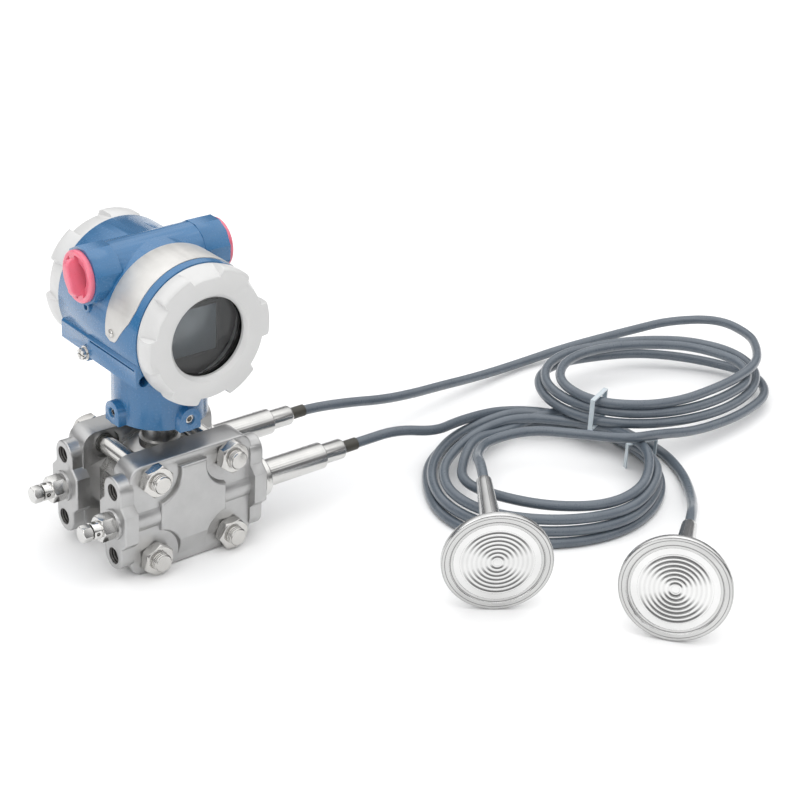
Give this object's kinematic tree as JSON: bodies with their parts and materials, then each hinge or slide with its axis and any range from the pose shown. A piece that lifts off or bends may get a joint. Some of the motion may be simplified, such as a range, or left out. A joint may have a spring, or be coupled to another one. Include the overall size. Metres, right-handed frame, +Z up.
{
  "type": "differential pressure transmitter",
  "caption": "Differential pressure transmitter: display housing on a flanged sensor, with coiled armoured capillaries ending in flush diaphragm seals.",
  "frame": {"origin": "on the standing plane, straight below the axis of the sensor neck", "axes": "+Z up along the sensor neck, display window faces -Y, the capillaries leave the process flanges towards +X"},
  "size_m": [0.5526, 0.3388, 0.19],
  "materials": {
    "steel_satin": "turned stainless steel, satin",
    "steel_cast": "cast stainless steel, blasted and polished to satin",
    "steel_bolt": "stainless fasteners",
    "steel_seal": "turned stainless steel",
    "steel_bright": "bright rolled diaphragm foil",
    "housing_blue": "blue powder coat on die-cast aluminium",
    "cover_white": "off-white powder coat on die-cast aluminium",
    "plate_aluminium": "satin, bare",
    "glass_clear": "flat polished window",
    "lcd_grey": "display glass, off",
    "black_plastic": "moulded black",
    "board_green": "circuit board",
    "brass_pillars": "plated",
    "plug_pink": "soft pink plastic",
    "cord_grey": "blue-grey jacket over armoured capillary",
    "sleeve_dark": "dark shrink sleeve",
    "tie_clear": "translucent strap",
    "rubber_black": "black elastomer",
    "ptfe_white": "white fluoropolymer"
  },
  "bodies": {
    "process_unit": {"sensor_module": "steel_satin", "isolating_diaphragm_front": "steel_satin", "isolating_diaphragm_rear": "steel_satin", "sensor_cell": "steel_satin", "sensor_cable": "ptfe_white", "neck_seal_ring": "rubber_black", "process_flange_front": "steel_cast", "process_flange_rear": "steel_cast", "flange_seal_front": "ptfe_white", "flange_seal_rear": "ptfe_white", "flange_bolts": "steel_bolt", "flange_nuts": "steel_bolt", "vent_valve_body_front": "steel_satin", "vent_valve_body_rear": "steel_satin", "capillary_adaptor_front": "steel_satin", "capillary_adaptor_rear": "steel_satin", "capillary_sleeve_front": "sleeve_dark", "capillary_sleeve_rear": "sleeve_dark", "capillary_rear_lead": "cord_grey", "capillary_rear_coil": "cord_grey", "capillary_rear_tail": "cord_grey", "capillary_front_lead": "cord_grey", "capillary_front_coil": "cord_grey", "capillary_front_tail": "cord_grey", "coil_tie_upper": "tie_clear", "coil_tie_lower": "tie_clear", "remote_seal_body_high": "steel_seal", "remote_seal_body_low": "steel_seal", "remote_seal_diaphragm_high": "steel_bright", "remote_seal_diaphragm_low": "steel_bright"},
    "housing": {"electronics_housing": "housing_blue", "swivel_lock_screws": "steel_satin", "earth_screw": "steel_satin", "earth_washer": "steel_satin", "nameplate": "plate_aluminium", "nameplate_screws": "steel_satin", "display_bezel": "black_plastic", "lcd_glass": "lcd_grey", "display_board": "board_green", "electronics_module": "black_plastic", "board_standoffs": "brass_pillars", "terminal_block": "black_plastic", "terminal_screws": "steel_satin"},
    "front_cover_travel": {"front_cover_seal": "rubber_black"},
    "front_cover_turning": {"front_cover": "cover_white", "window_glass": "glass_clear", "glass_gasket": "rubber_black", "glass_retaining_ring": "plate_aluminium"},
    "rear_cover_travel": {"rear_cover_seal": "rubber_black"},
    "rear_cover_turning": {"rear_cover": "cover_white"},
    "vent_travel_front": {"vent_ball_front": "steel_satin"},
    "vent_turning_front": {"vent_stem_front": "steel_satin"},
    "vent_travel_rear": {"vent_ball_rear": "steel_satin"},
    "vent_turning_rear": {"vent_stem_rear": "steel_satin"},
    "plug_left": {"entry_plug_left": "plug_pink"},
    "plug_right": {"entry_plug_right": "plug_pink"}
  },
  "joints": [
    {"name": "housing_swivel", "type": "hinge", "parent": "process_unit", "child": "housing", "pos_m": [0, 0, 0.0956], "axis": [0, 0, 1], "range_deg": [-180, 180]},
    {"name": "front_cover_slide", "type": "slide", "parent": "housing", "child": "front_cover_travel", "axis": [0, -1, 0], "range_m": [0, 0.0121]},
    {"name": "front_cover_spin", "type": "hinge", "parent": "front_cover_travel", "child": "front_cover_turning", "pos_m": [0, -0.045, 0.1484], "axis": [0, -1, 0], "range_deg": [0, 2160]},
    {"name": "rear_cover_slide", "type": "slide", "parent": "housing", "child": "rear_cover_travel", "axis": [0, 1, 0], "range_m": [0, 0.0121]},
    {"name": "rear_cover_spin", "type": "hinge", "parent": "rear_cover_travel", "child": "rear_cover_turning", "pos_m": [0, 0.046, 0.1484], "axis": [0, 1, 0], "range_deg": [0, 2160]},
    {"name": "vent_slide_front", "type": "slide", "parent": "process_unit", "child": "vent_travel_front", "axis": [-1, 0, 0], "range_m": [0, 0.00151]},
    {"name": "vent_spin_front", "type": "hinge", "parent": "vent_travel_front", "child": "vent_turning_front", "pos_m": [-0.06, -0.027, 0.0356], "axis": [-1, 0, 0], "range_deg": [0, 540]},
    {"name": "vent_slide_rear", "type": "slide", "parent": "process_unit", "child": "vent_travel_rear", "axis": [-1, 0, 0], "range_m": [0, 0.00151]},
    {"name": "vent_spin_rear", "type": "hinge", "parent": "vent_travel_rear", "child": "vent_turning_rear", "pos_m": [-0.06, 0.027, 0.0356], "axis": [-1, 0, 0], "range_deg": [0, 540]},
    {"name": "plug_pull_left", "type": "slide", "parent": "housing", "child": "plug_left", "axis": [-1, 0, 0], "range_m": [0, 0.016]},
    {"name": "plug_pull_right", "type": "slide", "parent": "housing", "child": "plug_right", "axis": [1, 0, 0], "range_m": [0, 0.016]}
  ],
  "couplings": [
    {"joint": "front_cover_slide", "follows": "front_cover_spin", "m_per_rad": 0.00031831},
    {"joint": "rear_cover_slide", "follows": "rear_cover_spin", "m_per_rad": 0.00031831},
    {"joint": "vent_slide_front", "follows": "vent_spin_front", "m_per_rad": 0.00015915},
    {"joint": "vent_slide_rear", "follows": "vent_spin_rear", "m_per_rad": 0.00015915}
  ]
}
